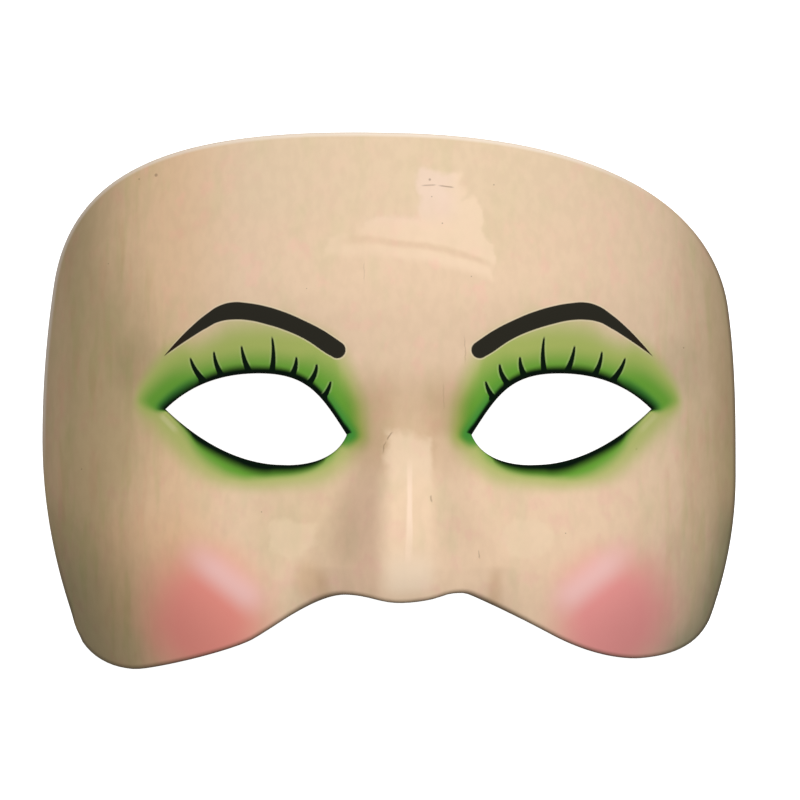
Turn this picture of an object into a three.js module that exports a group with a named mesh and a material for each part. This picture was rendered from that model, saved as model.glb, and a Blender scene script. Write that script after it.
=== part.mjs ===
// A half mask for the upper face: one thin shell of moulded papier-mâché with two eye holes,
// a brow, a nose bridge and the tops of the cheeks.
//
// Millimetres. The mask lies face up: +X is to the viewer's right, +Y towards the forehead and +Z out
// of the face. It lies on its two side edges, which are trimmed flat at z = 0, and the origin is
// there, under the middle of its outline.

import * as THREE from 'three';
import { mergeVertices } from 'three/addons/utils/BufferGeometryUtils.js';

// Driving dimensions

const HALF_WIDTH = 76;
const WALL = 2.1;
const VAULT_HEIGHT = 52;
const NOSE_HEIGHT = 12.5;
const EDGE_ROUNDING = 0.6;
const MIDLINE = 4.3; // the face's own midline, a little to the right of the middle of the outline

// How finely the shell is faceted: rows of facets from each eye hole to the outline, and facets
// around the hole between its corners and the ends of the midline.

const ROWS = 10;
const FACETS = { shoulder: 28, upperNose: 11, lowerNose: 12, cheek: 42 };

// Outline. Each side edge is widest at its own place, and draws in above and below it by the amount
// given, which is measured 40 mm away.

const DRAW_IN_SPAN = 40;
const LEFT = {
  sign: -1,
  widestAt: -7.7,
  above: { drawIn: 3.54, power: 2 },
  below: { drawIn: 7.08, power: 2 },
};
const RIGHT = {
  sign: 1,
  widestAt: -15.6,
  above: { drawIn: 2.22, power: 3 },
  below: { drawIn: 9.23, power: 2 },
};

function halfWidth(side, y) {
  const away = y - side.widestAt;
  const { drawIn, power } = away > 0 ? side.above : side.below;
  return HALF_WIDTH - drawIn * (Math.abs(away) / DRAW_IN_SPAN) ** power;
}

// A point on a side edge, and the point that lies a given height further along its tangent.

function onEdge(side, y) {
  return new THREE.Vector2(side.sign * halfWidth(side, y), y);
}

function alongEdge(side, y, rise) {
  const step = 0.01;
  const slope = (onEdge(side, y + step).x - onEdge(side, y - step).x) / (2 * step);
  return new THREE.Vector2(onEdge(side, y).x + slope * rise, y + rise);
}

const TOP = 56.9;
const NOSE_END = -41.1;

function maskOutline() {
  const path = new THREE.Path();
  const curve = (...points) => path.bezierCurveTo(...points.flatMap(([x, y]) => [x, y]));
  const sideEdge = (side, from, to) => {
    for (let step = 1; step <= 80; step++) {
      const point = onEdge(side, THREE.MathUtils.lerp(from, to, step / 80));
      path.lineTo(point.x, point.y);
    }
  };

  path.moveTo(MIDLINE, TOP);
  curve([-33.7, 58.1], alongEdge(LEFT, 26.1, 30), onEdge(LEFT, 26.1));
  sideEdge(LEFT, 26.1, -44.1);
  curve(alongEdge(LEFT, -44.1, -1.5), [-69.5, -57.2], [-55.1, -57.2]);
  curve([-52.1, -57.2], [-32.7, -52.1], [-28.2, -49.3]);
  curve([-20.7, -44.7], [-14.7, -39.5], [-9.1, -39.5]);
  curve([-3.5, -39.5], [-1.7, -41.6], [MIDLINE, NOSE_END]);
  curve([11.8, -40.4], [10.8, -39.1], [14.9, -39.1]);
  curve([17.0, -39.1], [16.8, -39.0], [35.1, -49.0]);
  curve([44.8, -54.2], [52.5, -54.5], [53.7, -54.5]);
  curve([69.9, -54.5], alongEdge(RIGHT, -40.4, -6.3), onEdge(RIGHT, -40.4));
  sideEdge(RIGHT, -40.4, 21.2);
  curve(alongEdge(RIGHT, 21.2, 11.5), [61.7, 55.0], [MIDLINE, TOP]);
  return path.getPoints(40);
}

// The eye holes are mirror images across the face's midline. Their places are distances from it.

const INNER_CORNER = [13.0, -6.4];
const OUTER_CORNER = [51.5, -1.1];

function eyeOutline() {
  const path = new THREE.Path();
  path.moveTo(...INNER_CORNER);
  path.bezierCurveTo(18.5, 2.2, 21.2, 6.4, 31.6, 6.4);
  path.bezierCurveTo(40.5, 6.4, 46.9, 3.3, ...OUTER_CORNER);
  path.bezierCurveTo(41.6, -10.3, 32.7, -12.7, 26.5, -12.7);
  path.bezierCurveTo(26.5, -12.7, 15.9, -13.6, ...INNER_CORNER);
  return path.getPoints(40);
}

// Form of the painted surface. It is a vault that arches from the midline down to both side edges and
// is bowed along its length, with the nose and a pair each of brow ridges, eye sockets, cheeks and
// nose wings on it.

const VAULT = {
  crownAt: 8.7, // the height on the face where the vault is highest
  foreheadFall: 6.3, // how far it falls 40 mm above that line
  cheekFall: 3.2, // and 40 mm below it
  fullness: 0.95, // 1 would be a full half circle, with upright sides
};

const NOSE = {
  root: 4.7, // the height on the face where it begins
  length: 38.7, // from there down to its highest place
  rise: 2.2, // above 1, it gathers height late
  bridgeHalfWidth: 3.2, // the part of it that is level across
  rootHalfWidth: 8.5,
  baseHalfWidth: 25.5,
  widening: 1.5, // above 1, it widens late
  flank: 0.9, // below 1, its sides drop off sooner beside the bridge
};

const PAIRS = {
  browRidges: { height: 1.2, out: 28, at: 21.7, spread: [18, 6] },
  eyeSockets: { height: -3.5, out: 33.5, at: -2.4, spread: [20, 12] },
  cheeks: { height: 4.5, out: 42, at: -39.4, spread: [13, 12] },
  noseWings: { height: 2.2, out: 14.5, at: -40.4, spread: [5, 5] },
};

function vault(across, y) {
  const away = y - VAULT.crownAt;
  const fall = away > 0 ? VAULT.foreheadFall : VAULT.cheekFall;
  const crown = VAULT_HEIGHT - fall * (away / DRAW_IN_SPAN) ** 2;
  const springing = Math.sqrt(1 - VAULT.fullness ** 2);
  const arch = Math.sqrt(1 - (VAULT.fullness * across) ** 2);
  return (crown * (arch - springing)) / (1 - springing);
}

function nose(out, y) {
  const down = Math.max((NOSE.root - y) / NOSE.length, 0);
  const widened = Math.min(down, 1) ** NOSE.widening;
  const width = THREE.MathUtils.lerp(NOSE.rootHalfWidth, NOSE.baseHalfWidth, widened);
  const aside = THREE.MathUtils.mapLinear(Math.abs(out), NOSE.bridgeHalfWidth, width, 0, 1);
  const section = Math.cos((Math.PI / 2) * THREE.MathUtils.clamp(aside, 0, 1) ** NOSE.flank) ** 2;
  return NOSE_HEIGHT * Math.sin((Math.PI / 2) * down) ** NOSE.rise * section;
}

function pairOfBumps({ height, out, at, spread }, x, y) {
  const bump = (away) => Math.exp(-0.5 * ((away / spread[0]) ** 2 + ((y - at) / spread[1]) ** 2));
  return height * (bump(x - out) + bump(x + out));
}

function surfaceHeight(x, y) {
  const out = x - MIDLINE;
  const side = out < 0 ? LEFT : RIGHT;
  const across = Math.abs(out) / (halfWidth(side, y) - side.sign * MIDLINE);
  let features = nose(out, y);
  for (const pair of Object.values(PAIRS)) {
    features += pairOfBumps(pair, out, y);
  }
  return vault(across, y) + features * (1 - across ** 6); // nothing stands out at the side edges
}

function surfaceNormal(x, y) {
  const step = 0.05;
  const slopeX = (surfaceHeight(x + step, y) - surfaceHeight(x - step, y)) / (2 * step);
  const slopeY = (surfaceHeight(x, y + step) - surfaceHeight(x, y - step)) / (2 * step);
  return new THREE.Vector3(-slopeX, -slopeY, 1).normalize();
}

// Distance from a centre to an outline in one direction.

function reach(outline, centre, direction) {
  let farthest = 0;
  outline.forEach((start, index) => {
    const end = outline[(index + 1) % outline.length];
    const edge = end.clone().sub(start);
    const turn = direction.cross(edge);
    if (Math.abs(turn) < 1e-9) return;
    const toStart = start.clone().sub(centre);
    const distance = toStart.cross(edge) / turn;
    const fraction = toStart.cross(direction) / turn;
    if (distance > 0 && fraction > -1e-6 && fraction < 1 + 1e-6) {
      farthest = Math.max(farthest, distance);
    }
  });
  return farthest;
}

// Directions from the middle of an eye hole in which the facets run, as on the right eye. They go
// once around, from the outer corner over the brow, and take in both ends of the midline.

function facetDirections() {
  const [innerX, innerY] = INNER_CORNER;
  const [outerX, outerY] = OUTER_CORNER;
  const middle = new THREE.Vector2((innerX + outerX) / 2, (innerY + outerY) / 2);
  const angleTo = (x, y) => new THREE.Vector2(x, y).sub(middle).angle();
  const outer = angleTo(outerX, outerY);
  const stretches = [
    [outer, angleTo(0, TOP), FACETS.shoulder],
    [angleTo(0, TOP), angleTo(innerX, innerY), FACETS.upperNose],
    [angleTo(innerX, innerY), angleTo(0, NOSE_END), FACETS.lowerNose],
    [angleTo(0, NOSE_END), outer + 2 * Math.PI, FACETS.cheek],
  ];
  const directions = stretches.flatMap(([from, to, count]) =>
    Array.from({ length: count }, (_, index) => {
      const angle = THREE.MathUtils.lerp(from, to, index / count);
      return new THREE.Vector2(Math.cos(angle), Math.sin(angle));
    }),
  );
  return { middle, directions };
}

// One half of the shell, as rows of points from the eye hole out to the outline or the midline.
// Each place has a point on the painted front and one on the back, a wall's thickness under it. The
// eye hole is cut straight through, so near it the back point moves under the front one.

const CUT_REACH = 5;

function pointUnder(surface, distanceFromHole) {
  const normal = surfaceNormal(surface.x, surface.y);
  const back = surface.clone().addScaledVector(normal, -WALL);
  const straightUnder = surface.clone();
  straightUnder.z -= WALL / normal.z;
  return back.lerp(straightUnder, Math.max(0, 1 - distanceFromHole / CUT_REACH) ** 2);
}

function halfShell(side, outline, eye) {
  const { middle, directions } = facetDirections();
  const centre = new THREE.Vector2(MIDLINE + side.sign * middle.x, middle.y);
  const hole = eye.map((point) => new THREE.Vector2(MIDLINE + side.sign * point.x, point.y));

  return directions.map(({ x, y }) => {
    const direction = new THREE.Vector2(side.sign * x, y);
    const start = reach(hole, centre, direction);
    const toOutline = reach(outline, centre, direction);
    const toMidline = x < 0 ? middle.x / -x : Infinity;
    const onMidline = toMidline < toOutline + 0.01;
    const end = Math.min(toOutline, toMidline);
    const points = [];
    for (let row = 0; row <= ROWS; row++) {
      const isEdge = row === 0 || (row === ROWS && !onMidline);
      const distance = rowDistance(row, start, end);
      const place = centre.clone().addScaledVector(direction, distance);
      if (row === ROWS && onMidline) place.x = MIDLINE;
      const height = surfaceHeight(place.x, place.y);
      const front = new THREE.Vector3(place.x, place.y, height);
      const back = pointUnder(front, distance - start);
      front.z -= isEdge ? EDGE_ROUNDING : 0;
      points.push({ front: trimmed(front), back: trimmed(back) });
    }
    return { points, onMidline };
  });
}

// The first and last rows lie close to the edges, which lets those be rounded.

function rowDistance(row, start, end) {
  if (row === 0) return start;
  if (row === ROWS) return end;
  return THREE.MathUtils.mapLinear(row, 1, ROWS - 1, start + EDGE_ROUNDING, end - EDGE_ROUNDING);
}

// The side edges are cut flat where the mask lies.

function trimmed(point) {
  const smallest = 0.05;
  if (point.z < smallest) point.z = 0;
  return point;
}

function maskGeometry() {
  const outline = maskOutline();
  const eye = eyeOutline();
  const positions = [];

  for (const side of [LEFT, RIGHT]) {
    const rays = halfShell(side, outline, eye);
    const face = (a, b, c, d) => {
      const corners = side.sign > 0 ? [a, b, c, a, c, d] : [a, c, b, a, d, c];
      for (const corner of corners) positions.push(corner.x, corner.y, corner.z);
    };
    rays.forEach((ray, index) => {
      const next = rays[(index + 1) % rays.length];
      for (let row = 0; row < ROWS; row++) {
        const [a, b] = [ray.points[row], ray.points[row + 1]];
        const [d, c] = [next.points[row], next.points[row + 1]];
        face(a.front, b.front, c.front, d.front);
        face(a.back, d.back, c.back, b.back);
      }
      face(ray.points[0].back, ray.points[0].front, next.points[0].front, next.points[0].back);
      if (!(ray.onMidline && next.onMidline)) {
        const [outer, nextOuter] = [ray.points[ROWS], next.points[ROWS]];
        face(outer.front, outer.back, nextOuter.back, nextOuter.front);
      }
    });
  }

  const geometry = new THREE.BufferGeometry();
  geometry.setAttribute('position', new THREE.Float32BufferAttribute(positions, 3));
  return mergeVertices(geometry, 1e-3);
}

const mask = new THREE.Group();
const paintedPapierMache = new THREE.MeshStandardMaterial({
  color: 0xddc3a2,
  roughness: 0.45,
  metalness: 0,
});
const shell = new THREE.Mesh(maskGeometry(), paintedPapierMache);
shell.name = 'mask_shell';
mask.add(shell);

export default mask;
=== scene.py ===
from functools import reduce

import bpy
import numpy as np
from mathutils import Color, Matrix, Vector, noise
from mathutils.geometry import interpolate_bezier


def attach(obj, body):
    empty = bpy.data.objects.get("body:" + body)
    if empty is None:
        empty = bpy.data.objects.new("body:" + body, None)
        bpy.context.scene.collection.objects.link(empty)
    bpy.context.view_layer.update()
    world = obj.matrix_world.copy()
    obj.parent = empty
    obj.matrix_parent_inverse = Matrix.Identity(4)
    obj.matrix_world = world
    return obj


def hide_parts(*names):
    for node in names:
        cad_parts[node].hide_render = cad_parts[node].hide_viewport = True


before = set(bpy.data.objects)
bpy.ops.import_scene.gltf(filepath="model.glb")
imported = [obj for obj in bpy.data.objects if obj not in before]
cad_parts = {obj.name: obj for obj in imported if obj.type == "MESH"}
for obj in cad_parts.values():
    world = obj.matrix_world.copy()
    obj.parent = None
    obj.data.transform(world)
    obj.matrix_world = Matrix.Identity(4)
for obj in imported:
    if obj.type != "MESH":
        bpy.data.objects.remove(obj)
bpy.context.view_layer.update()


# The camera looks straight down on the mask, which lies face up. It is a long lens at nearly a
# metre, so that the mask fills the width of the picture as it does in the photograph.

LENS_AT = (0.00239, 0.00085, 0.9721)
FOCAL_LENGTH = 200
SENSOR_WIDTH = 36
lens = bpy.data.cameras.new("camera")
lens.lens = FOCAL_LENGTH
lens.sensor_width = SENSOR_WIDTH
lens.clip_start = 0.01
camera = bpy.data.objects.new("camera", lens)
camera.location = LENS_AT
bpy.context.scene.collection.objects.link(camera)
bpy.context.scene.camera = camera


# The floor is a plain white table that glows a little, as a light table does, so that it stays
# white round the mask and behind the eye holes.

FLOOR_SIZE = 6
FLOOR_GAP = 0.0001
TABLE_GLOW = 0.95
bpy.ops.object.select_all(action="DESELECT")
bpy.ops.mesh.primitive_plane_add(size=FLOOR_SIZE, location=(0, 0, -FLOOR_GAP))
floor = bpy.context.object
floor.name = "floor"
table = bpy.data.materials.new("white_table")
table.use_nodes = True
table_paint = table.node_tree.nodes["Principled BSDF"]
table_paint.inputs["Base Color"].default_value = (0.8, 0.8, 0.8, 1)
table_paint.inputs["Roughness"].default_value = 0.9
table_paint.inputs["Specular IOR Level"].default_value = 0.1
table_paint.inputs["Emission Color"].default_value = (1, 1, 1, 1)
table_paint.inputs["Emission Strength"].default_value = TABLE_GLOW
floor.data.materials.append(table)
floor.visible_diffuse = False
floor.visible_glossy = False


# The light is soft: a wide panel over the forehead, a little to the right, a weak one low on the
# left, and an even pale surround.

LIT_POINT = (0, 0, 0.03)
SURROUND_LIGHT = 0.2


def add_panel(name, place, size, watts):
    panel = bpy.data.lights.new(name, "AREA")
    panel.shape = "RECTANGLE"
    panel.size, panel.size_y = size
    panel.energy = watts
    lamp = bpy.data.objects.new(name, panel)
    lamp.location = place
    aim = Vector(LIT_POINT) - Vector(place)
    lamp.rotation_euler = aim.to_track_quat("-Z", "Y").to_euler()
    lamp.visible_glossy = False
    bpy.context.scene.collection.objects.link(lamp)


add_panel("key_panel", place=(0.24, 0.55, 1.15), size=(0.7, 0.5), watts=13.6)
add_panel("fill_panel", place=(-0.75, -0.3, 0.38), size=(0.6, 0.6), watts=0.8)

surround = bpy.data.worlds.new("surround")
surround.use_nodes = True
background = surround.node_tree.nodes["Background"]
background.inputs["Color"].default_value = (1, 1, 1, 1)
background.inputs["Strength"].default_value = SURROUND_LIGHT
bpy.context.scene.world = surround
bpy.context.scene.view_settings.view_transform = "Standard"


# The mask is one moulded shell of papier-mache, about 2 mm thick, pressed over a form in layers of
# paper, trimmed round the outline and the eye holes, and smoothed along its edges. Its outline and
# form are in millimetres on the face: x to the right, y to the forehead, z out of the face.

HALF_WIDTH = 76
WALL = 2.1
VAULT_HEIGHT = 52
NOSE_HEIGHT = 12.5
EDGE_ROUNDING = 0.7
MIDLINE = 4.3
TOP = 56.9
NOSE_END = -41.1
INNER_CORNER = (13.0, -6.4)
OUTER_CORNER = (51.5, -1.1)

# Each side edge is widest at its own height, and draws in above and below it by a number of
# millimetres, measured 40 mm away. Between its top and its bottom it is part of the outline.

DRAW_IN_SPAN = 40
LEFT = {"sign": -1, "widest_at": -7.7, "above": (3.54, 2), "below": (7.08, 2)}
RIGHT = {"sign": 1, "widest_at": -15.6, "above": (2.22, 3), "below": (9.23, 2)}
LEFT_TOP = 26.1
LEFT_BOTTOM = -44.1
RIGHT_TOP = 21.2
RIGHT_BOTTOM = -40.4


def half_width(side, y):
    away = np.asarray(y) - side["widest_at"]
    (rise, rise_power), (fall, fall_power) = side["above"], side["below"]
    spans = np.abs(away) / DRAW_IN_SPAN
    return HALF_WIDTH - np.where(away > 0, rise * spans**rise_power, fall * spans**fall_power)


def on_edge(side, y):
    return (side["sign"] * float(half_width(side, y)), y)


def along_edge(side, y, rise):
    step = 0.01
    slope = (on_edge(side, y + step)[0] - on_edge(side, y - step)[0]) / (2 * step)
    return (on_edge(side, y)[0] + slope * rise, y + rise)


STEPS = 60


def drawn(start, *curves):
    """Points along a chain of curves: each is two handles and an end, or a side and two heights."""
    points = [start]
    for curve in curves:
        if isinstance(curve[0], dict):
            side, first, last = curve
            points += [on_edge(side, y) for y in np.linspace(first, last, STEPS)[1:]]
        else:
            knots = [Vector((*point, 0)) for point in (points[-1], *curve)]
            points += [(p.x, p.y) for p in interpolate_bezier(*knots, STEPS)[1:]]
    return np.array(points)


outline = drawn(
    (MIDLINE, TOP),
    ((-33.7, 58.1), along_edge(LEFT, LEFT_TOP, 30), on_edge(LEFT, LEFT_TOP)),
    (LEFT, LEFT_TOP, LEFT_BOTTOM),
    (along_edge(LEFT, LEFT_BOTTOM, -1.5), (-69.5, -57.2), (-55.1, -57.2)),
    ((-52.1, -57.2), (-32.7, -52.1), (-28.2, -49.3)),
    ((-20.7, -44.7), (-14.7, -39.5), (-9.1, -39.5)),
    ((-3.5, -39.5), (-1.7, -41.6), (MIDLINE, NOSE_END)),
    ((11.8, -40.4), (10.8, -39.1), (14.9, -39.1)),
    ((17.0, -39.1), (16.8, -39.0), (35.1, -49.0)),
    ((44.8, -54.2), (52.5, -54.5), (53.7, -54.5)),
    ((69.9, -54.5), along_edge(RIGHT, RIGHT_BOTTOM, -6.3), on_edge(RIGHT, RIGHT_BOTTOM)),
    (RIGHT, RIGHT_BOTTOM, RIGHT_TOP),
    (along_edge(RIGHT, RIGHT_TOP, 11.5), (61.7, 55.0), (MIDLINE, TOP)),
)

# The eye holes mirror each other across the midline of the face, and are drawn by their distance
# from it.

eye_hole = drawn(
    INNER_CORNER,
    ((18.5, 2.2), (21.2, 6.4), (31.6, 6.4)),
    ((40.5, 6.4), (46.9, 3.3), OUTER_CORNER),
    ((41.6, -10.3), (32.7, -12.7), (26.5, -12.7)),
    ((26.5, -12.7), (15.9, -13.6), INNER_CORNER),
)

# The painted surface is a vault that arches from the midline to both side edges, with the nose, and
# a pair each of brow ridges, eye sockets, cheeks and nose wings: how far they stand out, their
# distance from the midline, their height on the face, and their spread both ways. All of them
# fade out at the side edges.

CROWN_AT = 8.7
FOREHEAD_FALL = 6.3
CHEEK_FALL = 3.2
FULLNESS = 0.95
NOSE_ROOT = 4.7
NOSE_LENGTH = 38.7
NOSE_RISE = 2.2
BRIDGE_HALF_WIDTH = 3.2
NOSE_HALF_WIDTHS = (8.5, 25.5)
NOSE_WIDENING = 1.5
NOSE_FLANK = 0.9
FADE_POWER = 6
PAIRS = {
    "brow_ridges": (1.2, 28, 21.7, 18, 6),
    "eye_sockets": (-3.5, 33.5, -2.4, 20, 12),
    "cheeks": (4.5, 42, -39.4, 13, 12),
    "nose_wings": (2.2, 14.5, -40.4, 5, 5),
}


def across_face(x, y):
    """0 on the midline and 1 on either side edge."""
    out = x - MIDLINE
    spans = [half_width(side, y) - side["sign"] * MIDLINE for side in (LEFT, RIGHT)]
    return np.abs(out) / np.where(out < 0, *spans)


def surface_height(x, y):
    out = x - MIDLINE
    across = across_face(x, y)
    away = y - CROWN_AT
    fall = np.where(away > 0, FOREHEAD_FALL, CHEEK_FALL)
    crown = VAULT_HEIGHT - fall * (away / DRAW_IN_SPAN) ** 2
    springing = np.sqrt(1 - FULLNESS**2)
    vault = crown * (np.sqrt(1 - (FULLNESS * across) ** 2) - springing) / (1 - springing)

    down = np.maximum((NOSE_ROOT - y) / NOSE_LENGTH, 0)
    root_width, base_width = NOSE_HALF_WIDTHS
    width = root_width + (base_width - root_width) * np.minimum(down, 1) ** NOSE_WIDENING
    aside = np.clip((np.abs(out) - BRIDGE_HALF_WIDTH) / (width - BRIDGE_HALF_WIDTH), 0, 1)
    section = np.cos(np.pi / 2 * aside**NOSE_FLANK) ** 2
    features = NOSE_HEIGHT * np.sin(np.pi / 2 * down) ** NOSE_RISE * section
    for height, out_at, at, wide, tall in PAIRS.values():
        for centre in (-out_at, out_at):
            features = features + height * np.exp(
                -0.5 * (((out - centre) / wide) ** 2 + ((y - at) / tall) ** 2)
            )
    return vault + features * (1 - across**FADE_POWER)


# The front is modelled as two sheets, one round each eye hole. A sheet starts as a flat grid that
# is wrapped round the hole: its rows run from the hole out to the outline, or to the midline,
# where the two are welded. The first and last rows lie close together, to round the edge.

ROWS = 60
EDGE_ROWS = np.multiply((0, 0.1, 0.33, 0.7, 1.15), EDGE_ROUNDING)
COLUMNS = {"shoulder": 80, "upper_nose": 32, "lower_nose": 34, "cheek": 106}
TINY = 1e-6
MM = 0.001


def angle_from(middle, x, y):
    return np.arctan2(y - middle[1], x - middle[0]) % (2 * np.pi)


def reach(loop, middle, angles):
    """How far a loop of points lies from the middle in each direction."""
    around = angle_from(middle, loop[:, 0], loop[:, 1])
    distance = np.hypot(loop[:, 0] - middle[0], loop[:, 1] - middle[1])
    return np.interp(angles, around, distance, period=2 * np.pi)


def across_edge(distance, angles):
    """How much further a ray runs than straight across the edge that it meets at a slant."""
    turn = np.abs(np.diff(distance) / np.diff(angles))
    steepest = np.minimum(np.append(turn, turn[0]), np.append(turn[-1], turn))
    return np.hypot(1, steepest / distance)


def column_angles(middle):
    """The directions of the columns, with a few close together at both ends of the midline."""
    outer_turn = angle_from(middle, *OUTER_CORNER)
    top_turns = angle_from(middle, 0, TOP - EDGE_ROWS)
    inner_turn = angle_from(middle, *INNER_CORNER)
    end_turns = angle_from(middle, 0, NOSE_END + EDGE_ROWS)[::-1]
    stops = [outer_turn, *top_turns, inner_turn, *end_turns, outer_turn + 2 * np.pi]
    counts = [1] * (len(stops) - 1)
    above_corner = len(EDGE_ROWS)
    counts[0] = COLUMNS["shoulder"]
    counts[above_corner] = COLUMNS["upper_nose"]
    counts[above_corner + 1] = COLUMNS["lower_nose"]
    counts[-1] = COLUMNS["cheek"]
    stretches = zip(stops, stops[1:], counts)
    angles = [np.linspace(low, high, count, endpoint=False) for low, high, count in stretches]
    return np.append(np.concatenate(angles), stops[-1])


# Pressing the paper by hand leaves slight hollows, wide ones and small dents. Each kind has a
# depth, a size and a start for its noise.

HOLLOWS = ((0.25, 26, 3.1), (0.06, 9, 8.4))


def front_height(x, y):
    """The surface with its hollows."""
    hollows = 0
    for depth, size, start in HOLLOWS:
        swell = [noise.noise(Vector((a / size, b / size, start))) for a, b in zip(x, y)]
        hollows = hollows + depth * (1 + np.array(swell))
    fade = 1 - np.minimum(across_face(x, y), 1) ** FADE_POWER
    return surface_height(x, y) - hollows * fade


def points_of(mesh):
    flat = np.empty(len(mesh.vertices) * 3)
    mesh.vertices.foreach_get("co", flat)
    return flat.reshape(-1, 3)


def eye_sheet(name, side):
    middle = np.add(INNER_CORNER, OUTER_CORNER) / 2
    angles = column_angles(middle)
    if side is RIGHT:
        angles = angles[::-1]
    out_from_midline = (outline[:, 0] - MIDLINE) * side["sign"]
    half_outline = np.column_stack((out_from_midline, outline[:, 1]))[out_from_midline > -TINY]
    hole = reach(eye_hole, middle, angles)
    to_midline = middle[0] / np.maximum(-np.cos(angles), TINY)
    edge = np.minimum(reach(half_outline, middle, angles), to_midline)

    def along_rays(distance, rays):
        x = MIDLINE + side["sign"] * (middle[0] + distance * np.cos(rays))
        return x, middle[1] + distance * np.sin(rays)

    before_edge = along_rays(edge - EDGE_ROUNDING, angles)
    fall = surface_height(*before_edge) - surface_height(*along_rays(edge, angles))
    steep = np.hypot(1, fall / EDGE_ROUNDING)

    columns = len(angles) - 1
    bpy.ops.mesh.primitive_grid_add(x_subdivisions=columns, y_subdivisions=ROWS, size=2)
    sheet = bpy.context.object
    sheet.name = name
    flat = points_of(sheet.data)
    column = np.rint((flat[:, 0] + 1) / 2 * columns).astype(int)
    row = np.rint((flat[:, 1] + 1) / 2 * ROWS)

    edge_rows = np.arange(len(EDGE_ROWS))
    hole_slant = across_edge(hole, angles)[column]
    close_to_hole = hole[column] + np.interp(row, edge_rows, EDGE_ROWS) * hole_slant
    edge_slant = (across_edge(edge, angles) / steep)[column]
    close_to_edge = edge[column] - np.interp(ROWS - row, edge_rows, EDGE_ROWS) * edge_slant
    share = np.clip((row - edge_rows[-1]) / (ROWS - 2 * edge_rows[-1]), 0, 1)
    distance = close_to_hole + share * (close_to_edge - close_to_hole)
    x, y = along_rays(distance, angles[column])
    wrapped = np.column_stack((x, y, front_height(x, y))) * MM
    sheet.data.vertices.foreach_set("co", wrapped.ravel())
    return sheet


def select_only(*objects):
    bpy.ops.object.select_all(action="DESELECT")
    for item in objects:
        item.select_set(True)
    bpy.context.view_layer.objects.active = objects[0]


bpy.ops.object.select_all(action="DESELECT")
mask = eye_sheet("painted_mask", LEFT)
select_only(mask, eye_sheet("right_half", RIGHT))
bpy.ops.object.join()
bpy.ops.object.mode_set(mode="EDIT")
bpy.ops.mesh.select_all(action="SELECT")
bpy.ops.mesh.remove_doubles(threshold=TINY)
bpy.ops.object.mode_set(mode="OBJECT")

# The wall gets its thickness inwards. The eye holes are cut straight through from the front, the
# side edges are cut flat where the mask lies, and all edges are rounded.

CUT_REACH = 5
FRONT, INSIDE, RIM = range(3)


def distance_to(loop, points):
    """The distance from each point to the nearest place on a closed loop."""
    steps = np.roll(loop, -1, axis=0) - loop
    squares = np.maximum((steps**2).sum(axis=1), TINY**2)
    nearest = []
    for point in points:
        shares = np.clip(((point - loop) * steps).sum(axis=1) / squares, 0, 1)
        gaps = loop + shares[:, None] * steps - point
        nearest.append(np.sqrt((gaps**2).sum(axis=1).min()))
    return np.array(nearest)


for name in ("painted_front", "bare_inside", "trimmed_edge"):
    mask.data.materials.append(bpy.data.materials.new(name))
front = points_of(mask.data) / MM
wall = mask.modifiers.new("wall", "SOLIDIFY")
wall.thickness = WALL * MM
wall.offset = -1
wall.use_even_offset = True
wall.material_offset = INSIDE
wall.material_offset_rim = RIM
bpy.ops.object.modifier_apply(modifier="wall")
inside = points_of(mask.data)[len(front):] / MM

x, y = front[:, :2].T
from_eye = distance_to(eye_hole, np.column_stack((np.abs(x - MIDLINE), y)))
from_outline = distance_to(outline, front[:, :2])
near = from_eye < CUT_REACH
share = (1 - from_eye[near, None] / CUT_REACH) ** 2
towards_inside = (inside - front)[near]
straight_down = np.zeros_like(towards_inside)
straight_down[:, 2] = WALL * np.linalg.norm(towards_inside, axis=1) / towards_inside[:, 2]
inside[near] += share * (straight_down - towards_inside)
for layer in (front, inside):
    layer[:, 2] = np.maximum(layer[:, 2], 0)

lifted_outline = np.column_stack((outline, np.maximum(front_height(*outline.T), 0)))
from_edge = np.minimum(from_eye, distance_to(lifted_outline, front))
from_arc = 1 - np.clip(from_edge / EDGE_ROUNDING, 0, 1)
rounding = EDGE_ROUNDING * (1 - np.sqrt(1 - from_arc**2))
towards_inside = inside - front
towards_inside /= np.linalg.norm(towards_inside, axis=1)[:, None]
front += rounding[:, None] * towards_inside
inside -= rounding[:, None] * towards_inside
mask.data.vertices.foreach_set("co", (np.concatenate((front, inside)) * MM).ravel())
bpy.ops.object.shade_smooth()


def remember(name, values):
    """Keep one number for each point of the front and its point inside, for the paint to follow."""
    both_sides = np.concatenate((values, values))
    mask.data.attributes.new(name, "FLOAT", "POINT").data.foreach_set("value", both_sides)


remember("from_eye", from_eye)
remember("from_outline", from_outline)


# The front is painted by hand over a smooth ground: a cream skin that darkens to olive and brown
# towards the sides, partly with age and partly as painted shade, green eye shadow sprayed round the
# eye holes, a black lid line, lashes and brows, and rouge on the cheeks with a pale stroke. Painted
# highlights, reflections and shade stand in for light on the nose, forehead, cheeks and edges. A
# thin, nearly matt varnish covers it.

class Amount:
    """A number that varies over the surface. Sums of amounts become the material's own maths."""

    def __init__(self, socket):
        self.socket = socket
        self.tree = socket.id_data

    def __add__(self, other):
        return work_out("ADD", self, other)

    def __sub__(self, other):
        return work_out("SUBTRACT", self, other)

    def __rsub__(self, other):
        return work_out("SUBTRACT", other, self)

    def __mul__(self, other):
        return work_out("MULTIPLY", self, other)

    def __truediv__(self, other):
        return work_out("DIVIDE", self, other)

    __radd__ = __add__
    __rmul__ = __mul__


def feed(entry, value):
    if isinstance(value, Amount):
        value.tree.links.new(value.socket, entry)
    else:
        entry.default_value = value


def work_out(operation, *values):
    tree = next(value.tree for value in values if isinstance(value, Amount))
    node = tree.nodes.new("ShaderNodeMath")
    node.operation = operation
    for entry, value in zip(node.inputs, values):
        feed(entry, value)
    return Amount(node.outputs[0])


def size_of(value):
    return work_out("ABSOLUTE", value)


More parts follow.
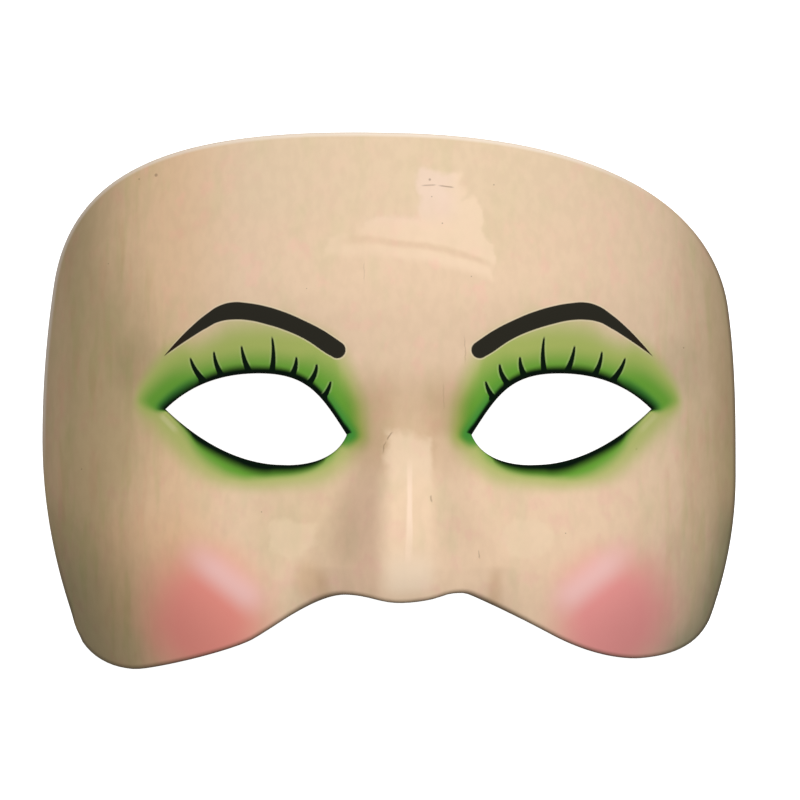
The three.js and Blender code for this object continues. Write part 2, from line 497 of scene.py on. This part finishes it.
def larger(one, other):
    return work_out("MAXIMUM", one, other)


def ease(value, start, end):
    """0 on the side of start and 1 on the side of end, eased between them."""
    node = value.tree.nodes.new("ShaderNodeMapRange")
    node.interpolation_type = "SMOOTHSTEP"
    feed(node.inputs["Value"], value)
    feed(node.inputs["From Min"], start)
    feed(node.inputs["From Max"], end)
    return Amount(node.outputs["Result"])


def close_to(value, middle, outer, inner):
    """1 within the inner distance from a middle, and 0 beyond the outer one."""
    return ease(size_of(value - middle), outer, inner)


def read_off(value, points):
    """A smooth curve through points, read at a value: level before the first and past the last."""
    farthest = points[-1][0]
    highest = max(height for at, height in points)
    node = value.tree.nodes.new("ShaderNodeFloatCurve")
    node.mapping.use_clip = False
    node.mapping.extend = "HORIZONTAL"
    scaled = [(at / farthest, height / highest) for at, height in points]
    curve = node.mapping.curves[0]
    curve.points[0].location = scaled[0]
    curve.points[1].location = scaled[-1]
    for place in scaled[1:-1]:
        curve.points.new(*place)
    node.mapping.update()
    feed(node.inputs["Value"], value / farthest)
    return Amount(node.outputs["Value"]) * highest


def tone(red, green, blue):
    """A colour from the red, green and blue that a colour picker shows, from 0 to 255."""
    return (*Color((red / 255, green / 255, blue / 255)).from_srgb_to_scene_linear(), 1)


# A mix node has sockets of one name for numbers and for colours. These are the ones for colours.

BELOW, ABOVE, MIXED = 6, 7, 2


def painted_over(below, colour, amount, how="MIX"):
    tree = next(value.tree for value in (below, colour, amount) if isinstance(value, Amount))
    node = tree.nodes.new("ShaderNodeMix")
    node.data_type = "RGBA"
    node.blend_type = how
    feed(node.inputs["Factor"], amount)
    feed(node.inputs[BELOW], below)
    feed(node.inputs[ABOVE], colour)
    return Amount(node.outputs[MIXED])


def tinted(below, tint, amount):
    """A colour multiplied by a tint, as a thin wash of paint or dirt does."""
    return painted_over(below, (*tint, 1), amount, "MULTIPLY")


def surface_place(tree):
    """The place on the mask in millimetres."""
    object_place = tree.nodes.new("ShaderNodeTexCoord").outputs["Object"]
    scaled = tree.nodes.new("ShaderNodeVectorMath")
    scaled.operation = "SCALE"
    scaled.inputs["Scale"].default_value = 1 / MM
    tree.links.new(object_place, scaled.inputs[0])
    return Amount(scaled.outputs[0])


def remembered(tree, name):
    node = tree.nodes.new("ShaderNodeAttribute")
    node.attribute_name = name
    return Amount(node.outputs["Fac"])


def cloud(place, size, stretch=1, start=0, detail=3):
    """Soft noise from 0 to 1 with patches of a size in millimetres, stretched up the face."""
    tree = place.tree
    moved = tree.nodes.new("ShaderNodeMapping")
    moved.inputs["Location"].default_value = (start, 2 * start, 0)
    moved.inputs["Scale"].default_value = (1 / size, 1 / (size * stretch), 1 / (size * stretch))
    tree.links.new(place.socket, moved.inputs["Vector"])
    node = tree.nodes.new("ShaderNodeTexNoise")
    node.inputs["Scale"].default_value = 1
    node.inputs["Detail"].default_value = detail
    tree.links.new(moved.outputs[0], node.inputs["Vector"])
    return Amount(node.outputs["Fac"])


def material_tree(index):
    material = mask.data.materials[index]
    material.use_nodes = True
    return material.node_tree


tree = material_tree(FRONT)
place = surface_place(tree)
split = tree.nodes.new("ShaderNodeSeparateXYZ")
feed(split.inputs[0], place)
x, y = (Amount(axis) for axis in split.outputs[:2])
out = x - MIDLINE
u = size_of(out)
from_eye = remembered(tree, "from_eye")
from_outline = remembered(tree, "from_outline")


def waver(size, **look):
    """Soft noise from -0.5 to 0.5, to make an edge uneven or a tone patchy."""
    return cloud(place, size, **look) - 0.5


# Skin: a cream ground, lighter on the lower face, with faint pink and olive patches. The left side
# is sallow and its cheek warm. Both sides darken to olive and brown towards their edges, partly
# aged paint and partly painted shade, and a painted shadow lies along the lower right edge. Here
# and below, places are in millimetres on the face, and amounts of paint run from 0 to 1.

skin = painted_over(tone(236, 206, 175), tone(242, 210, 178), ease(y, 4, -24))
pink = ease(cloud(place, 4.5, stretch=1.3, start=11), 0.52, 0.7)
olive = ease(cloud(place, 5, stretch=2.6, start=47), 0.5, 0.75)
flush = close_to(y, 27.5, 5, 2) * close_to(x, 4, 26, 12)
forehead = ease(y, 35, 43) * ease(u, 46, 28)
skin = painted_over(skin, tone(242, 200, 176), pink * (0.6 + 0.35 * flush) * (1 - 0.6 * forehead))
skin = tinted(skin, (0.965, 1, 0.985), forehead)
skin = painted_over(skin, tone(224, 205, 166), olive * 0.45)
skin = tinted(skin, (1, 0.94, 0.85), ease(out, -32, -52))
warm_cheek = close_to(out, -55, 17, 6) * close_to(y, -36, 17, 7)
skin = painted_over(skin, tone(250, 198, 155), warm_cheek * 0.4)
streaks = waver(3, stretch=7, start=7)
# Sides darken: partly aged paint, partly painted shade, deeper at eye height and lower left.
temple = close_to(y, 2, 36, 6)
corner = ease(y, -22, -54)
left_age_and_shade = ease(8 * streaks - out + 9.5 * temple + 9 * corner + 0.5, 55, 73)
left_age_and_shade = left_age_and_shade * (1 - 0.35 * ease(out, -72, -77) * ease(y, -27, -18))
skin = tinted(skin, (0.68, 0.73, 0.65), left_age_and_shade)
lower_left = ease(out, -50, -62) * ease(y, -18, -34)
skin = tinted(skin, (0.91, 0.93, 0.92), lower_left)
lowest_left = ease(out, -61, -69) * ease(y, -28, -42)
skin = tinted(skin, (0.88, 0.92, 0.91), lowest_left)
# The right side darkens the same way, partly aged paint and partly painted shade.
right_age_and_shade = ease(9 * streaks + out, 51, 77)
skin = tinted(skin, (0.66, 0.66, 0.50), right_age_and_shade)
# A painted shadow, grey-green, along the lower right edge.
lower_right_shadow = ease(from_outline, 8, 0) * ease(y, -16, -30) * ease(x, 53, 64)
skin = tinted(skin, (0.62, 0.75, 0.70), lower_right_shadow)
greenish = ease(cloud(place, 2.4, stretch=8, start=61), 0.5, 0.68) * ease(u, 40, 62)
skin = tinted(skin, (0.93, 0.98, 0.90), greenish)
reddish = ease(cloud(place, 2.8, stretch=6, start=83), 0.52, 0.7) * ease(u, 40, 62)
skin = tinted(skin, (1, 0.94, 0.95), reddish)
mottling = ease(cloud(place, 2, stretch=1.6, start=97, detail=4), 0.35, 0.65)
skin = tinted(skin, (0.965, 0.96, 0.955), mottling)

# A paler patch on the forehead, a painted reflection of a window in the varnish, with a darker
# crease across its lower part. It is the union of steps, each with a left and a right side and a
# top.

REFLECTION_STEPS = ((-13, 22, 34.8), (-5.5, 22, 38.6), (6.1, 22, 42.8), (6.1, 15.2, 48.6))
CREASE = ((-13, 34.2), (-5.7, 34.1), (4.5, 33.2), (13.1, 31.5), (19.8, 29.5), (24, 28))
REFLECTION_SOFT = 0.8
x_reflection = x + 6 * waver(5, start=17)
y_reflection = y + 5 * waver(5, start=29)
above_crease = y + 1.6 * waver(7, start=29) - read_off(x, CREASE)
steps = []
for left, right, top in REFLECTION_STEPS:
    sides = ease(x_reflection, left - REFLECTION_SOFT, left + REFLECTION_SOFT)
    sides = sides * ease(x_reflection, right + REFLECTION_SOFT, right - REFLECTION_SOFT)
    steps.append(sides * ease(y_reflection, top + REFLECTION_SOFT, top - REFLECTION_SOFT))
forehead_reflection = reduce(larger, steps) * ease(above_crease, -4.2, -2)
forehead_reflection = forehead_reflection * ease(x_reflection + 0.28 * y_reflection, 30.9, 29.9)
forehead_reflection = forehead_reflection * (0.6 + 0.8 * cloud(place, 3.5, start=71)) * (0.6 + 0.4 * ease(x, -6, 9))
crease = ease(size_of(above_crease), 1.3, 0.1) * close_to(x, 6, 18, 12)
pinker = ease(y, 36, 41) * ease(x, 16, 11)
reflection_tone = painted_over(tone(248, 220, 190), tone(247, 218, 200), pinker)
# The painted reflection goes over the skin, fainter on the crease.
skin = painted_over(skin, reflection_tone, forehead_reflection * (1 - 0.8 * crease) * 0.6)
skin = tinted(skin, (0.97, 0.95, 0.94), crease)

# The nose: a painted highlight down the bridge, brightest along the ridge and at its tip, and
# painted shade on the left flank. Its root is in painted shade too, which is laid again further
# down, over the edge of the eye shadow.

# Painted shade in the hollow at the root of the nose, less where the bridge highlight lies.
root = close_to(y, -4, 15, 4) * ease(u, 15.5, 9) * (0.72 + 0.28 * ease(u, 1, 6))
ragged = 4 * waver(3, start=37)
on_bridge = ease(out + ragged, -6.2, -3.8) * ease(out + 0.3 * ragged, 5.3, 4)
bridge_highlight_top = on_bridge * ease(y + ragged + 0.25 * out, -5, -7.8)
root = root * (1 - 0.6 * bridge_highlight_top) * (1 - 0.4 * ease(out, 3, 7) * ease(y, -4.5, -8))
# Painted shade on the left flank of the nose.
left_flank_shade = ease(out, -18, -12) * ease(out, -4.5, -8) * ease(y, -10, -20)
skin = tinted(skin, (0.91, 0.87, 0.87), left_flank_shade)
beside_nose = close_to(out, -23.5, 14, 6) * close_to(y, -23, 13, 5)
skin = tinted(skin, (0.91, 0.93, 0.89), beside_nose)
# Painted highlights on the bridge of the nose.
bridge_highlight = ease(out + 1.5 * streaks, -8, -1.5) * ease(out, 5.4, 4.1) * ease(y, -4, -9)
skin = painted_over(skin, tone(246, 224, 190), bridge_highlight * 0.14)
skin = painted_over(skin, tone(250, 228, 200), bridge_highlight_top * ease(y + ragged, -19, -12) * 0.3)
# Painted highlight at the tip of the nose.
tip = ease(u, 7.5, 2) * ease(y, -28, -35) * ease(from_outline, 0.5, 4)
skin = painted_over(skin, tone(255, 234, 208), tip * 0.45)
# Painted highlight along the ridge, brightest at its middle.
brightest = close_to(y, -20.5, 9, 2)
ridge_highlight = ease(size_of(out + 1.6 * streaks), 0.8, 0.3) * ease(y, -10, -14) * ease(y, -35, -30)
skin = painted_over(skin, tone(255, 226, 200), ridge_highlight * (0.45 + 0.4 * brightest))

# Rouge on both cheeks, and the pale stroke across its upper edge, with painted shade in the creases
# of the nose wings and a painted reflection on each cheek.

ROUGE_AT = (43, -45)
ROUGE_REACH = (12.3, 13.5)
STROKE = ((44.5, -31.7), (31.5, -41.8))
STROKE_REACH = 5.28


def distance_from(at, reach_u=1, reach_y=1, across=u):
    """The distance from a point on the face, or from its mirror image when across is u."""
    part_u = work_out("POWER", (across - at[0]) / reach_u, 2)
    part_y = work_out("POWER", (y - at[1]) / reach_y, 2)
    return work_out("SQRT", part_u + part_y)


def off_line(across, start, end):
    """The distance past the start of a line, the distance aside of it, and the line's length."""
    run = np.subtract(end, start)
    length = float(np.hypot(*run))
    along_x, along_y = (float(part) for part in run / length)
    past_start = (across - start[0]) * along_x + (y - start[1]) * along_y
    aside = (y - start[1]) * along_x - (across - start[0]) * along_y
    return past_start, size_of(aside), length


# Painted shade in the crease beside each nose wing, and a further patch of it on the left.
past_start, aside = off_line(u, (18.2, -32), (17.6, -41))[:2]
wing_crease_shade = ease(past_start, 0, 5) * ease(aside, 2.4, 0.1)
skin = tinted(skin, (0.89, 0.85, 0.80), wing_crease_shade)
left_wing_shade = ease(distance_from((21, -36.5), 3, 4), 1.4, 0.3) * ease(out, 0, -5)
skin = tinted(skin, (0.93, 0.89, 0.82), left_wing_shade)
# A painted reflection on each cheek beside the nose.
cheek_reflection = ease(distance_from((24.5, -28), 5, 4) + 1.2 * waver(4, start=53), 1.25, 0.85)
skin = painted_over(skin, tone(248, 224, 190), cheek_reflection * 0.35)
rouge = ease(distance_from(ROUGE_AT, *ROUGE_REACH) + 0.35 * waver(16, start=21), 1.5, 0.45)
rouge_tone = painted_over(tone(254, 159, 145), tone(255, 160, 158), ease(out, -5, 5))
skin = painted_over(skin, rouge_tone, rouge * (1 - 0.08 * ease(out, -5, 5)))
past_start, aside, length = off_line(u, *STROKE)
stroke = ease(past_start, -6, 5) * ease(past_start, length + 3.5, length - 4)
stroke = stroke * ease(aside, STROKE_REACH, 0)
skin = painted_over(skin, tone(255, 206, 200), stroke * 0.85)

# Fine cracks in the paint, each by its two ends and how strong it is, and dark specks, each by its
# place and radius.

CRACKS = (
    ((6.6, 45.5), (10.2, 45.7), 0.8), ((10, 45.6), (14, 45.1), 1), ((-5, 30), (-5, 25), 0.3),
    ((15.7, 14.8), (16.1, 7.8), 0.45), ((0.9, -5.6), (-0.4, -7.6), 1),
    ((-0.4, -7.4), (-1.3, -10.4), 0.7), ((11.4, 5), (11.5, -1.8), 0.3),
    ((8.7, -18.6), (9, -20.4), 0.8), ((18.6, -30), (18.9, -32.2), 0.7),
)
SPECKS = (
    (8.6, 46.8, 0.22), (9, 43.2, 0.12), (-49.5, 48.7, 0.3), (-53.3, 48, 0.15), (52.4, -9.5, 0.2),
    (-44.7, 8.2, 0.12), (11.2, 37.6, 0.14), (17.2, 26.5, 0.12), (-60, 30, 0.12), (22, 45.8, 0.14),
    (-26.5, -22.5, 0.12), (-17, 24, 0.1), (37, -27, 0.12), (63, 12, 0.14), (-66, -14, 0.14),
)
CRACK_HALF_WIDTH = 0.09
wobble = 0.8 * waver(1.5, start=5)
marks = []
for start, end, strength in CRACKS:
    past_start, aside, length = off_line(x + wobble, start, end)
    line = ease(past_start, 0, 0.3 * length) * ease(past_start, length, 0.7 * length) * strength
    marks.append(line * ease(aside, CRACK_HALF_WIDTH * 2, CRACK_HALF_WIDTH))
for *at, radius in SPECKS:
    marks.append(ease(distance_from(at, across=x), radius * 1.6, radius * 0.6))
skin = painted_over(skin, tone(128, 98, 76), reduce(larger, marks) * 0.5)

# Eye shadow: a yellow-green veil, a green and a black line, above the eye hole and below it. Each
# entry is a distance from the midline, and how far from the lid the paint begins to fade there and
# where it ends.

UPPER_SHADOW = {
    "veil": ((8, 1.6, 6.8), (14, 4.2, 11.4), (18, 7.2, 13.6), (21, 7.4, 14), (25, 6.5, 15),
             (36, 6, 15.5), (44, 5, 12), (49, 7, 13), (54, 6, 11.5), (60, 3.4, 6.8)),
    "green": ((8, 0.4, 3.2), (12, 1.5, 4.8), (14, 1.9, 6.1), (18, 2, 8.4), (21, 2, 7.4),
              (24, 1.5, 6.2), (32, 1, 6.3), (44, 1.2, 6.3), (48, 2.2, 8), (53, 3.2, 7.9),
              (60, 2.2, 5.8)),
    "black": ((11.2, -0.4, 0.5), (12.2, 0.8, 1.5), (14, 0.6, 1.3), (18, 0.7, 1.7), (21, 0.8, 2),
              (32, 0.6, 2.2), (36, 0.6, 2.6), (44, 0.3, 2.2), (47, -0.2, 2.6), (52, 0.1, 2.5),
              (55, -0.9, 2)),
}
LOWER_SHADOW = {
    "veil": ((8, 0.5, 6.5), (14, 0.8, 7), (18, 1.6, 7.2), (21, 1.8, 7), (24, 2, 6.8), (28, 2.6, 7),
             (36, 4, 8), (40, 4.4, 9), (44, 3.8, 9.8), (48, 2.7, 9.2), (54, 1.3, 8)),
    "green": ((8, -2, 1.6), (13, -2.4, 1.8), (16, -1, 2.4), (18, -0.2, 2.6), (21, 0.6, 2.9),
              (28, 1.6, 3.5), (32, 2.2, 4.3), (36, 2.8, 5.2), (40, 2.3, 5.6), (44, 1.3, 5),
              (47, -1.1, 3.4), (50, -3, 1.6)),
    "black": ((13, -0.6, 0.2), (16.5, -0.4, 0.5), (18, -0.1, 1.4), (19.5, 0.1, 1.9), (21, 0.2, 2.2),
              (28, 0.5, 2.9), (32, 0.9, 3.4), (36, 0.6, 3.2), (40, 0.5, 2.8), (44, 0.6, 2.3),
              (46, 0.1, 1.5), (48.5, -0.2, 0.8), (52, -0.4, 0.5)),
}
SHADOW_TONES = {"veil": tone(175, 188, 102), "green": tone(106, 164, 56), "black": tone(2, 18, 6)}
DEEP_GREEN = tone(50, 136, 56)

# The upper and the lower paint meet on the line through both corners of the eye hole: softly in the
# veil and the green, and sharply in the black.

across_hole, up_hole = np.subtract(OUTER_CORNER, INNER_CORNER)
lid_slope = float(up_hole / across_hole)
along_lid = work_out("MINIMUM", u, OUTER_CORNER[0]) - INNER_CORNER[0]
above = y - INNER_CORNER[1] - along_lid * lid_slope
near_nose = ease(u, 19, 12)
past_corner = ease(u, OUTER_CORNER[0] - 1, OUTER_CORNER[0] + 5)
cut_start = -0.7 - 3.3 * near_nose - 2.4 * past_corner
soft_cut = ease(above, cut_start, 0.7 - 0.2 * near_nose + 1.6 * past_corner)
hard_cut = ease(above + 0.6 * past_corner - 0.4 * near_nose, -0.6, 0.3)
# Painted shade on the temples, beside the outer corners of the eyes.
temple_shade = ease(distance_from((57.5, 8), 5.5, 6.5), 1.5, 0.4)
painted = tinted(skin, (0.86, 0.88, 0.85), temple_shade)
for layer, colour in SHADOW_TONES.items():
    upper = hard_cut if layer == "black" else soft_cut
    reaches = []
    for shadow in (UPPER_SHADOW, LOWER_SHADOW):
        starts = read_off(u, [(at, start) for at, start, end in shadow[layer]])
        ends = read_off(u, [(at, end) for at, start, end in shadow[layer]])
        reaches.append((starts, ends))
    (upper_start, upper_end), (lower_start, lower_end) = reaches
    if layer != "black":
        upper_start = upper_start + near_nose * ease(above, 1, 7)
        upper_end = upper_end + 2.6 * near_nose * ease(above, 1, 8)
    start = lower_start + (upper_start - lower_start) * upper
    end = lower_end + (upper_end - lower_end) * upper
    amount = ease(from_eye, end, start)
    if layer == "veil":
        amount = amount * (1 - 0.15 * (1 - upper))
    painted = painted_over(painted, colour, amount)
    if layer == "green":
        # The painted shade at the nose root, laid over the green as well.
        painted = tinted(painted, (0.75, 0.71, 0.64), root)
        at_ends = larger(ease(u, 23, 14), ease(u, 38, 50)) * 0.8
        painted = painted_over(painted, DEEP_GREEN, ease(from_eye, 3.1, 0.9) * at_ends * upper)

# A pale streak below each outer corner.

past_start, aside, length = off_line(u, (52.3, -2.5), (49.2, -5.6))
streak = ease(past_start, -0.8, 0.6) * ease(past_start, length + 1, length - 1)
streak = streak * ease(aside, 0.9, 0.2)
painted = painted_over(painted, tone(226, 218, 172), streak * (0.35 - 0.15 * ease(out, -5, 5)))

# Lashes, each by its tip, middle and base, as distance from the midline and height, and the width
# of its base. A lash narrows to its tip and flares at its foot, and a thin paler line is left
# along both sides.

LASHES = (
    ((45.8, 9.7), (44.9, 7.6), (43.25, 5.1), 1.9),
    ((40.7, 11.0), (40.35, 8.8), (39.4, 6.45), 1.4),
    ((34.85, 12.15), (34.35, 9.7), (33.4, 7.0), 1.55),
    ((28.4, 14.0), (28.1, 10.5), (28.4, 6.85), 1.3),
    ((23.3, 9.8), (23.45, 7.9), (24.1, 6.05), 1.55),
    ((19.05, 8.3), (19.4, 6.1), (20.6, 4.3), 1.7),
    ((16.1, 4.7), (16.6, 3.2), (17.5, 1.5), 1.45),
)
SOFT = 0.12
LASH_SHIFT = (-0.2, 0.12)
LASH_TAPER = 0.36
LASH_TIP = 0.18
LASH_FOOT = 0.28
FOOT_FLARE = 1.8
lash_u = size_of(out - LASH_SHIFT[0])
lash_y = y - LASH_SHIFT[1]
lashes = []
pale_lines = []
for tip, middle, base, width in LASHES:
    rise = (lash_y - base[1]) / (tip[1] - base[1])
    bend = 2 * middle[0] - (tip[0] + base[0]) / 2
    rest = 1 - rise
    centre = base[0] * rest * rest + 2 * bend * rest * rise + tip[0] * rise * rise
    shaft = rest * width * LASH_TAPER + LASH_TIP
    half = larger(shaft, width * FOOT_FLARE * (0.1 - rise) + LASH_FOOT * width)
    off_lash = size_of(lash_u - centre) - half
    ends = ease(rise, 1.03, 0.9) * ease(rise, -0.35, -0.2)
    lashes.append(ease(off_lash, SOFT, -SOFT) * ends)
    pale_lines.append(ease(off_lash, 0.5, 0.2) * ends * ease(rise, 0.1, 0.3))
painted = painted_over(painted, tone(196, 212, 150), reduce(larger, pale_lines) * 0.25)
painted = painted_over(painted, tone(4, 22, 8), reduce(larger, lashes))

# Brows, between an upper and a lower edge, from a round inner end to a pointed outer tip. The right
# one begins a little nearer the nose. A thin pale line is left round each.

BROW_TOP = ((13.9, 12.65), (15.1, 13.5), (16.2, 14.25), (18, 15.4), (21.7, 17.3), (26.1, 19.2),
            (30.4, 20.5), (33.8, 21.1), (36.7, 21.3), (39.4, 20.7), (42.3, 19.0), (45.8, 16.2),
            (49.1, 13.0), (51.8, 10.0))
BROW_BOTTOM = ((13.9, 8.4), (15.95, 9.82), (17, 10.4), (21.9, 13.6), (25.8, 15.35), (29.7, 16.6),
               (33.4, 17.45), (36.5, 17.65), (39.4, 17.3), (42.5, 15.9), (45.6, 14.1), (48.9, 12.0),
               (51.8, 10.0))
BROW_END = (14.95, 11.25)
BROW_END_RADIUS = 1.75
BROW_SLOPE = np.radians(35)
BROW_TIP = 51.8
RIGHT_BROW_LONGER = 0.3
PALE_LINE = 0.3
brow_u = u + RIGHT_BROW_LONGER * ease(out, 0, 5) * ease(u, 32, 20)
top_gap = read_off(brow_u, BROW_TOP) - y
bottom_gap = y - read_off(brow_u, BROW_BOTTOM)
end_gap = BROW_END_RADIUS - distance_from(BROW_END, across=brow_u)
along_brow = (brow_u - BROW_END[0]) * float(np.cos(BROW_SLOPE))
along_brow = along_brow + (y - BROW_END[1]) * float(np.sin(BROW_SLOPE))


def brow_grown(by):
    """The brow, with its outline moved out by a number of millimetres."""
    length = ease(along_brow, -0.1, 0.1) * ease(brow_u, BROW_TIP + by, BROW_TIP + by - 0.3)
    shaft = ease(top_gap, -SOFT - by, SOFT - by) * ease(bottom_gap, -SOFT - by, SOFT - by) * length
    return larger(shaft, ease(end_gap, -SOFT - by, SOFT - by))


pale_round_brow = brow_grown(PALE_LINE) * ease(u, 51.6, 49)
painted = painted_over(painted, tone(240, 224, 192), pale_round_brow * 0.5)
hair = painted_over(tone(44, 42, 34), tone(46, 34, 22), ease(u, 44, 51))
painted = painted_over(painted, hair, brow_grown(0))

# The rounded outer edge: a painted highlight at the top and down the left side, and painted
# shade at the bottom and on the right.

edge_highlight = ease(from_outline, 1.4, 0.6) * ease(y - 0.45 * x, 15, 35)
painted = painted_over(painted, tone(248, 232, 214), edge_highlight * 0.8)
edge_shade = ease(from_outline, 1.35, 0.2) * ease(y - 0.5 * x, 16, -14)
painted = painted_over(painted, tone(106, 88, 66), edge_shade * 0.72)

# Varnish, with a faint unevenness from the brush.

def add_relief(shader, height, strength, depth):
    """Let a height from 0 to 1 catch the light as relief of a depth in metres."""
    relief = height.tree.nodes.new("ShaderNodeBump")
    relief.inputs["Strength"].default_value = strength
    relief.inputs["Distance"].default_value = depth
    feed(relief.inputs["Height"], height)
    height.tree.links.new(relief.outputs[0], shader.inputs["Normal"])


varnished = tree.nodes["Principled BSDF"]
feed(varnished.inputs["Base Color"], painted)
varnished.inputs["Roughness"].default_value = 0.5
varnished.inputs["Specular IOR Level"].default_value = 0.12
varnished.inputs["Coat Weight"].default_value = 0.06
varnished.inputs["Coat Roughness"].default_value = 0.2
brushed = cloud(place, 1.6, stretch=2, start=31, detail=4)
add_relief(varnished, brushed, strength=0.15, depth=0.0001)

# The cut edge is brown paper. The inside is bare paper: torn strips laid over one another, some
# browner, with the size that seals them darker in patches. Each has a dark and a pale tone.

PAPERS = {
    RIM: (tone(96, 78, 58), tone(150, 128, 98)),
    INSIDE: (tone(150, 130, 100), tone(197, 181, 152)),
}
STRIP_WIDTH = 17
for index, (dark, pale) in PAPERS.items():
    tree = material_tree(index)
    place = surface_place(tree)
    laid = tree.nodes.new("ShaderNodeTexVoronoi")
    laid.inputs["Scale"].default_value = 1 / STRIP_WIDTH
    laid.inputs["Randomness"].default_value = 0.9
    tree.links.new(place.socket, laid.inputs["Vector"])
    split = tree.nodes.new("ShaderNodeSeparateColor")
    tree.links.new(laid.outputs["Color"], split.inputs[0])
    shade = Amount(split.outputs[0])
    amount = ease(0.45 * shade + 0.75 * cloud(place, 7, detail=5), 0.3, 0.85)
    paper = tree.nodes["Principled BSDF"]
    feed(paper.inputs["Base Color"], painted_over(dark, pale, amount))
    paper.inputs["Roughness"].default_value = 0.8
    fibres = shade + 0.5 * cloud(place, 1.5, start=13, detail=5)
    add_relief(paper, fibres, strength=0.4, depth=0.0002)

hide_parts("mask_shell")
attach(mask, "root")
